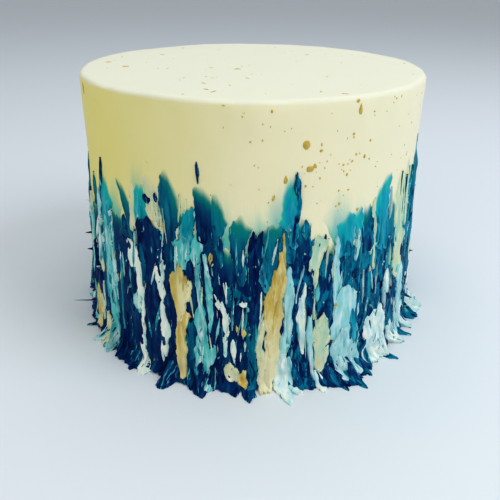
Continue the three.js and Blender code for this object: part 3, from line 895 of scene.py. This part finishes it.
def fine_layout(index):
    """Narrower pulls over the main strokes round the back."""
    angle = BACK_FROM + (BACK_TO - BACK_FROM) * share(index, 0)
    top = 14 + 58 * draw(index, 1)
    length = 12 + 24 * draw(index, 2)
    form = ("leaf", "strip", "daub", "drip")[index % 4]
    lean = 1.5 * (draw(index, 3) - 0.5)
    foot = max(top - length, -6 * draw(index, 6))
    width, lift = 2.6 + 4.5 * draw(index, 4), 1.9 + draw(index, 5)
    return form, angle - lean, top, angle + lean, foot, width, lift


def line_layout(index):
    """Thin pale lines where the edge of the knife lifted cream from the strokes beside it."""
    angle = 360 * share(index, 41) - 180
    top = 26 + 46 * draw(index, 11)
    length = 9 + 15 * draw(index, 12)
    lean = 1.6 * (draw(index, 13) - 0.5)
    return "leaf", angle - lean, top, angle + lean, top - length, 0.9 + 0.7 * draw(index, 14), 2.7


def sliver_layout(index):
    """Specks of cream that came off the knife's edge onto the strokes."""
    angle = 360 * share(index, 0) - 180
    top = 6 + 60 * draw(index, 21)
    length = 2 + 6 * draw(index, 22) ** 2
    lean = 0.4 * (draw(index, 23) - 0.5)
    width, lift = 0.7 + 0.9 * draw(index, 24) ** 2, 2.6 + 0.7 * draw(index, 25)
    return "leaf", angle, top, angle + lean, top - length, width, lift


def wash_layout(index):
    """Thin films of colour that the knife rubbed onto the bare coat between the tops of the back strokes."""
    angle = BACK_FROM + (BACK_TO - BACK_FROM) / BACK_WASHES * (index + share(index, 51))
    return "wash", angle, 82 + 12 * share(index, 52), angle, 64.0, 8 + 8 * share(index, 53), 1.2


def fade_of(layout):
    """A stroke that ends on the bare coat thins out to it, and one that ends on others has a torn end."""
    form, top, width = layout[0], layout[2], layout[5]
    on_the_coat = form in ("blade", "strip", "wedge", "wash") and top > BARE_FROM and width > NARROW
    return FADE if on_the_coat else 0.0


def wisp_layout(index):
    """Wisps that stand out from the band round the back."""
    kind = ("navy", "petrol", "navy", "ivory", "aqua")[index % 5]
    return (kind, 80 + 200 * share(index, 31), 4 + 56 * draw(index, 31), 2 + 3 * draw(index, 32),
            2 * draw(index, 33) - 0.6, 1.2 + 1.4 * draw(index, 34))


FRONT = {"navy": NAVY, "petrol": PETROL, "sea": SEA, "aqua": AQUA,
         "foam": FOAM, "cream": CREAMS, "ivory": IVORY, "gold": GOLD}
MATERIALS = {"navy": navy_cream, "petrol": petrol_cream, "sea": sea_cream, "aqua": aqua_cream,
             "foam": foam_cream, "cream": cream_cream, "ivory": ivory_cream, "gold": gold_cream}
LUMPS = {"navy": 0.08, "petrol": 0.08, "sea": 0.08, "aqua": 0.12, "foam": 0.12, "cream": 0.1, "ivory": 0.16,
         "gold": 0.14}

# The strokes that follow a rule, the broadest first: their layout, how many there are, the kinds they take in
# turn, their first seed, the step from seed to seed, whether those that end on the bare coat thin out to it,
# and how wide a face of their mesh is. Each group starts at another seed, so that strokes of two groups that
# lie together don't tear alike.
BY_RULE = [
    (back_layout, BACK_STROKES, BACK_KINDS, 200, 0.71, True, 0.9),
    (fine_layout, FINE_BACK_STROKES, FINE_KINDS, 300, 0.53, False, 0.8),
    (line_layout, LINES, LINE_KINDS, 600, 0.61, False, 0.5),
    (sliver_layout, SLIVERS, SLIVER_KINDS, 400, 0.59, False, 0.45),
]

under = [stroke(under_layout(i), 100 + i * 0.37, FADE, cell=1.0) for i in range(UNDER_STROKES)]
finish_piece(join_strokes(under, "navy_underlayer"), navy_cream)

all_wisps = WISPS + [wisp_layout(i) for i in range(BACK_WISPS)]
for number, (kind, layouts) in enumerate(FRONT.items()):
    seed = 1 + 20 * number
    sheets = [stroke(layout, seed + i * 0.37, fade_of(layout), LUMPS[kind])
              for i, layout in enumerate(layouts)]
    if kind == "sea":
        sheets += [stroke(wash_layout(i), 700 + i * 0.43, FADE) for i in range(BACK_WASHES)]
    for layout_of, count, kinds, first_seed, seed_step, thins_out, cell in BY_RULE:
        for i in range(count):
            if kinds[i % len(kinds)] == kind:
                layout = layout_of(i)
                fade = fade_of(layout) if thins_out else 0.0
                sheets.append(stroke(layout, first_seed + i * seed_step, fade, LUMPS[kind], cell))
    sheets += [wisp(layout, 500 + i * 1.7) for i, layout in enumerate(all_wisps) if layout[0] == kind]
    finish_piece(join_strokes(sheets, kind + "_strokes"), MATERIALS[kind])


# The coat

# Its mesh: the faces round it and across its rounded rim, the ring just inside the rim, the rings of its top
# and their width, and the rings up its side.
FACES_ROUND = 360
RIM_FACES = 6
FIRST_RING = 1.5
TOP_RINGS = 15
RING_WIDTH = 5.0
SIDE_RINGS = 60


def rim_wave(turn, height):
    """How far the side stands out near the rim, where the scraper left it a little uneven."""
    near_rim = np.clip((height - 100) / 20, 0, 1)
    return near_rim * (0.5 * wander(turn * 5 + 30, height / 30) + 0.3 * wander(turn * 13 + 60, height / 12))


def top_lumps(x, y):
    """How far the top stands above a flat one."""
    return 0.35 * wander(x / 30, y / 30) + 0.12 * wander(x / 9, y / 9)


def make_coat():
    """A smooth cylinder with a rounded rim, let out where the strokes lie on it."""
    deselect()
    bpy.ops.mesh.primitive_cylinder_add(
        vertices=FACES_ROUND, radius=COAT_RADIUS * MM, depth=HEIGHT * MM, location=(0, 0, HEIGHT / 2 * MM),
        calc_uvs=False)
    coat = bpy.context.object
    bpy.ops.object.transform_apply(location=True, rotation=False, scale=False)
    coat.name = coat.data.name = "lemon_buttercream_coat"
    mesh = coat.data

    # The rim is rounded, and the top gets rings.
    bpy.ops.object.mode_set(mode="EDIT")
    bpy.ops.mesh.select_mode(type="FACE")
    bpy.ops.mesh.select_all(action="DESELECT")
    bpy.ops.object.mode_set(mode="OBJECT")
    for face in mesh.polygons:
        face.select = face.normal.z > 0.9
    bpy.ops.object.mode_set(mode="EDIT")
    bpy.ops.mesh.bevel(offset=RIM_ROUND * MM, segments=RIM_FACES)
    bpy.ops.object.mode_set(mode="OBJECT")
    for face in mesh.polygons:
        face.select = face.normal.z > 0.999
    bpy.ops.object.mode_set(mode="EDIT")
    bpy.ops.mesh.inset(thickness=FIRST_RING * MM)
    for ring in range(TOP_RINGS):
        bpy.ops.mesh.inset(thickness=RING_WIDTH * MM)

    # So does the side.
    bpy.ops.mesh.select_mode(type="EDGE")
    bpy.ops.mesh.select_all(action="DESELECT")
    bpy.ops.object.mode_set(mode="OBJECT")
    for edge in mesh.edges:
        low, high = (mesh.vertices[index].co.z for index in edge.vertices)
        edge.select = abs(high - low) > 0.5 * HEIGHT * MM
    bpy.ops.object.mode_set(mode="EDIT")
    bpy.ops.mesh.subdivide_edgering(number_cuts=SIDE_RINGS, interpolation="LINEAR")
    bpy.ops.object.mode_set(mode="OBJECT")

    # Then the side swells towards its base, and the rim and the top are made a little uneven.
    points = get_points(mesh) / MM
    radius = np.hypot(points[:, 0], points[:, 1])
    z = points[:, 2].copy()
    turn = np.arctan2(points[:, 0], -points[:, 1])
    swell = np.where(radius > 0.8 * COAT_RADIUS, band_radius(z) / COAT_RADIUS, 1)
    wave = rim_wave(turn, z) * np.clip(radius / 60, 0, 1)
    points[:, :2] *= (swell + wave / COAT_RADIUS)[:, None]
    points[:, 2] += np.where(z > HEIGHT - 1, top_lumps(points[:, 0], points[:, 1]), 0)
    set_points(mesh, points * MM)
    bpy.ops.object.shade_smooth_by_angle(angle=math.radians(60))
    return coat


finish_piece(make_coat(), coat_cream())


# The splashes of gold

FINE_SIDE_SPLASHES = 80
BACK_SPLASHES = 50
FINE_TOP_SPLASHES = 40

# The fine drops on the side gather about an angle, as the larger ones do. All the random ones on the side
# fall between two heights, those round the back between two angles, and those on the top within TOP_REACH
# of its middle.
GATHER_ANGLE = 26
GATHER_SPREAD = 22
SPLASH_LOW = 78
SPLASH_HIGH = 124
SPLASH_BACK_FROM = 70
SPLASH_BACK_TO = 290
TOP_REACH = 78


def splash(place, long_axis, wide_axis, out, length, width, seed):
    """One drop that dried as a low lens with an uneven edge."""
    deselect()
    bpy.ops.mesh.primitive_uv_sphere_add(segments=16, ring_count=6, radius=1, calc_uvs=False)
    drop = bpy.context.object
    ball = get_points(drop.data)
    around = np.arctan2(ball[:, 1], ball[:, 0])
    uneven = 1 + 0.3 * wander(np.cos(around) * 1.5 + seed, np.sin(around) * 1.5 + seed)
    heavy = 1 - 0.35 * ball[:, 0] * min(1, length / width - 1)
    thick = 0.12 + 0.08 * min(width, length)
    points = (place + np.outer(ball[:, 0] * 0.5 * length * uneven, long_axis)
              + np.outer(ball[:, 1] * 0.5 * width * uneven * heavy, wide_axis)
              + np.outer(ball[:, 2] * thick, out))
    set_points(drop.data, points * MM)
    return drop


def side_splash(angle, height, width, length, seed):
    """A drop on the side, which ran down as it dried where it is longer than wide."""
    turn = math.radians((angle + 180) % 360 - 180)
    out = np.array([math.sin(turn), -math.cos(turn), 0])
    beside = np.array([math.cos(turn), math.sin(turn), 0])
    place = out * (band_radius(height) + rim_wave(turn, height)) + np.array([0, 0, height])
    return splash(place, np.array([0, 0, 1.0]), beside, out, length, width, seed)


def top_splash(x, y, length, width, turn, seed):
    """A drop on the top, drawn out the way that it flew."""
    direction = math.radians(turn)
    along = np.array([math.cos(direction), math.sin(direction), 0])
    beside = np.array([-math.sin(direction), math.cos(direction), 0])
    place = np.array([x, y, HEIGHT + top_lumps(x, y)])
    return splash(place, along, beside, np.array([0, 0, 1.0]), length, width, seed)


drops = [side_splash(*layout, 1.0 + i) for i, layout in enumerate(SIDE_SPLASHES)]
drops += [top_splash(*layout, 40.0 + i) for i, layout in enumerate(TOP_SPLASHES)]
chance = np.random.default_rng(5)


def between(low, high):
    """A random place between two."""
    return low + (high - low) * chance.random()


for i in range(FINE_SIDE_SPLASHES):
    angle, height = chance.normal(GATHER_ANGLE, GATHER_SPREAD), between(SPLASH_LOW, SPLASH_HIGH)
    size = 0.35 + 0.55 * chance.random() ** 2
    drops.append(side_splash(angle, height, size, size * (1 + chance.random()), 80.0 + i))
for i in range(BACK_SPLASHES):
    angle, height = between(SPLASH_BACK_FROM, SPLASH_BACK_TO), between(SPLASH_LOW, SPLASH_HIGH)
    size = 0.4 + 1.6 * chance.random() ** 3
    drops.append(side_splash(angle, height, size, size * (1 + chance.random()), 180.0 + i))
for i in range(FINE_TOP_SPLASHES):
    distance, turn = TOP_REACH * math.sqrt(chance.random()), 360 * chance.random()
    size = 0.4 + 0.8 * chance.random() ** 2
    x, y = distance * math.cos(turn), distance * math.sin(turn)
    drops.append(top_splash(x, y, 1.8 * size, 0.6 * size, turn, 280.0 + i))
deselect()
for drop in drops:
    drop.select_set(True)
bpy.context.view_layer.objects.active = drops[0]
bpy.ops.object.join()
splashes = bpy.context.object
splashes.name = splashes.data.name = "gold_splashes"
bpy.ops.object.shade_smooth()
finish_piece(splashes, gold_splash())


# The stage, the light and the camera

deselect()
bpy.ops.mesh.primitive_plane_add(size=24, location=(0, 0, 0))
floor = bpy.context.object
floor.name = "floor"
floor_paint, floor_tree = new_material("plain pale floor")
floor_shader = add(floor_tree, "BsdfPrincipled", {"Base Color": linear("#DBDEDF"), "Roughness": 0.7})
add(floor_tree, "OutputMaterial", {}, {"Surface": floor_shader.outputs["BSDF"]})
floor.data.materials.append(floor_paint)


def soft_light(name, place, target, size, watts, hex_colour):
    """A round light of this width, with its place and what it points at in metres."""
    light = bpy.data.lights.new(name, "AREA")
    light.shape = "DISK"
    light.size = size
    light.energy = watts
    light.color = linear(hex_colour)[:3]
    lamp = bpy.data.objects.new(name, light)
    lamp.location = place
    lamp.rotation_euler = (Vector(target) - Vector(place)).to_track_quat("-Z", "Y").to_euler()
    bpy.context.collection.objects.link(lamp)


soft_light("key", (0.75, -0.35, 0.85), (0, 0, 0.07), 0.7, 4.6, "#F4F8FF")
soft_light("overhead", (0, 0.1, 1.3), (0, 0, 0), 1.2, 3.2, "#F0F6FF")
soft_light("fill", (-0.9, -0.9, 0.7), (0, 0, 0.06), 1.2, 2.2, "#FFF6E4")
world = bpy.data.worlds.new("soft room")
bpy.context.scene.world = world
world.use_nodes = True
world.node_tree.nodes["Background"].inputs["Color"].default_value = linear("#E8EEF4")
world.node_tree.nodes["Background"].inputs["Strength"].default_value = 0.48

# The camera that took the picture: the picture's side, the focal length and the shift of the middle in its
# pixels, then the camera's place, how steeply it looks down and how far it is turned about its own line.
PICTURE_SIDE = 500
FOCAL_LENGTH = 536.6
SHIFT_X = -1.2
SHIFT_Y = -35
SENSOR_WIDTH = 36
CAMERA_PLACE = (0, -273.9 * MM, 168.5 * MM)
CAMERA_PITCH = math.radians(24.43)
CAMERA_ROLL = 0.01
camera_data = bpy.data.cameras.new("camera")
camera_data.sensor_width = SENSOR_WIDTH
camera_data.lens = FOCAL_LENGTH / PICTURE_SIDE * SENSOR_WIDTH
camera_data.shift_x = SHIFT_X / PICTURE_SIDE
camera_data.shift_y = SHIFT_Y / PICTURE_SIDE
camera_data.clip_start = 0.01
camera = bpy.data.objects.new("camera", camera_data)
bpy.context.collection.objects.link(camera)
camera.matrix_world = (
    Matrix.Translation(CAMERA_PLACE)
    @ Matrix.Rotation(math.pi / 2 - CAMERA_PITCH, 4, "X")
    @ Matrix.Rotation(CAMERA_ROLL, 4, "Z"))
bpy.context.scene.camera = camera
bpy.context.scene.view_settings.view_transform = "Standard"
bpy.context.scene.view_settings.look = "High Contrast"
